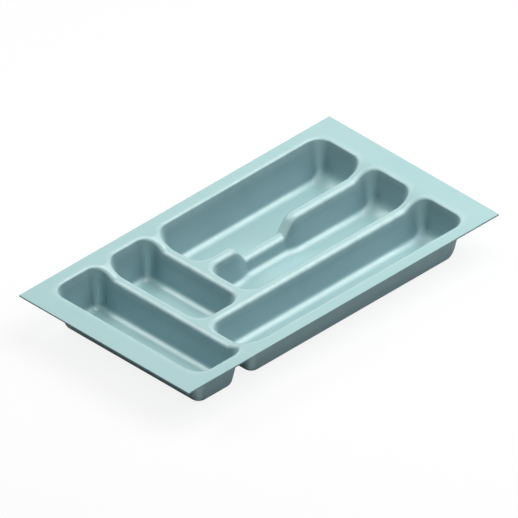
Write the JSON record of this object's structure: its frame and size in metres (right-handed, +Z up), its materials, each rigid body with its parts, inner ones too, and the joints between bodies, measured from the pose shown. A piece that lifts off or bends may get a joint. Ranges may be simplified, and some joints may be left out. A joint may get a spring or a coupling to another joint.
{
  "type": "cutlery tray insert",
  "caption": "One-piece thermoformed drawer tray with a wide flat trim flange, drafted and filleted pockets, lowered divider ridges and a dip in one divider for the fingers.",
  "frame": {"origin": "middle of the footprint, level with the underside of the pocket floors", "axes": "+X across the tray, +Y along it from the crosswise pockets to the long pockets' scooped ends, +Z up out of the pockets"},
  "size_m": [0.268, 0.49, 0.052],
  "materials": {
    "sheet": "satin, pale blue-green, fine grain from the mould"
  },
  "bodies": {
    "root": {"tray": "sheet"}
  },
  "joints": []
}
